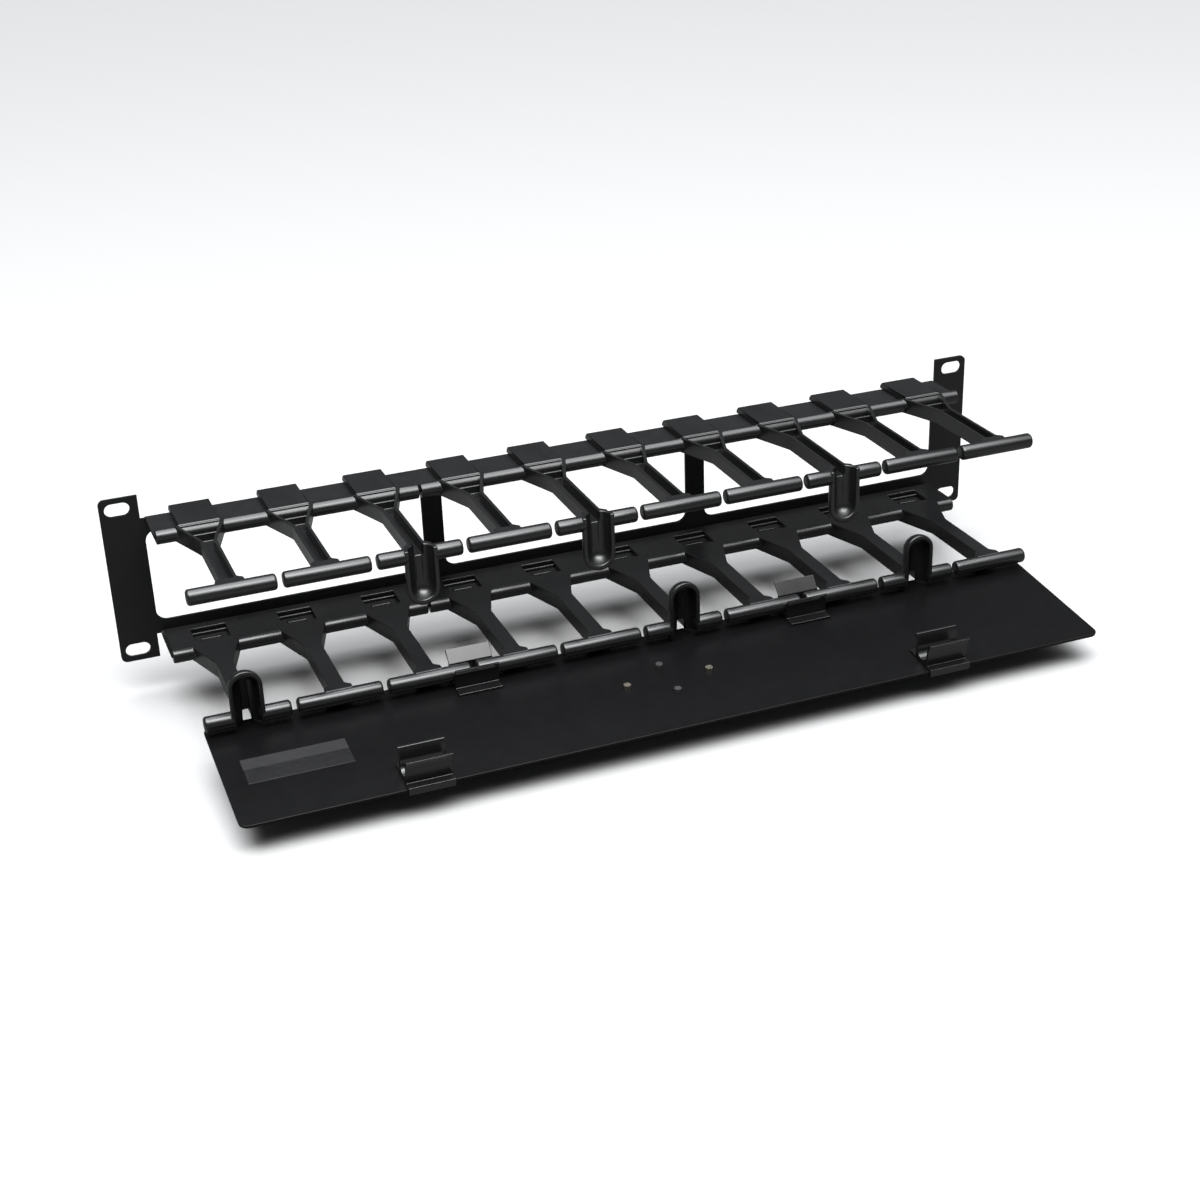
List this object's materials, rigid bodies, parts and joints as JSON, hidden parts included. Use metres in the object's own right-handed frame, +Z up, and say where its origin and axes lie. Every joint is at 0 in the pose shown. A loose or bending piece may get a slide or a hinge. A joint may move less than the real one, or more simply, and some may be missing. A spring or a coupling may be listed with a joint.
{
  "type": "horizontal cable manager",
  "caption": "Rack-mount horizontal cable manager: folded steel bracket with moulded T-bar fingers above and below, and a front cover that clips on and hinges open.",
  "frame": {"origin": "centre of the mounting plane, which is the rear face of the ears, midway between the four rack slots", "axes": "+X to the right along the rack's width, +Z up, -Y to the front, where the fingers and the cover are"},
  "size_m": [0.4826, 0.1778, 0.0929],
  "materials": {
    "bracket_paint": "satin black powder coat",
    "cover_paint": "satin black powder coat",
    "strip_plastic": "moulded black with a soft sheen",
    "clip_plastic": "glossy moulded black",
    "pin_bright": "bright plated",
    "pin_dark": "dark coated",
    "label_film": "blank dark label film"
  },
  "bodies": {
    "manager": {"rack_bracket": "bracket_paint", "upper_strip_short": "strip_plastic", "upper_strip_long": "strip_plastic", "lower_strip_short": "strip_plastic", "lower_strip_long": "strip_plastic"},
    "cover": {"cover_panel": "cover_paint", "blank_label": "label_film", "hinge_clip_left": "clip_plastic", "hinge_clip_right": "clip_plastic", "latch_clip_left": "clip_plastic", "latch_clip_right": "clip_plastic", "cover_pin_left": "pin_bright", "cover_pin_right": "pin_bright", "cover_pin_rear": "pin_dark", "cover_pin_front": "pin_dark"}
  },
  "joints": [
    {"name": "cover_hinge", "type": "hinge", "parent": "manager", "child": "cover", "pos_m": [0, -0.104, -0.0325], "axis": [-1, 0, 0], "range_deg": [-10, 95.5]}
  ]
}
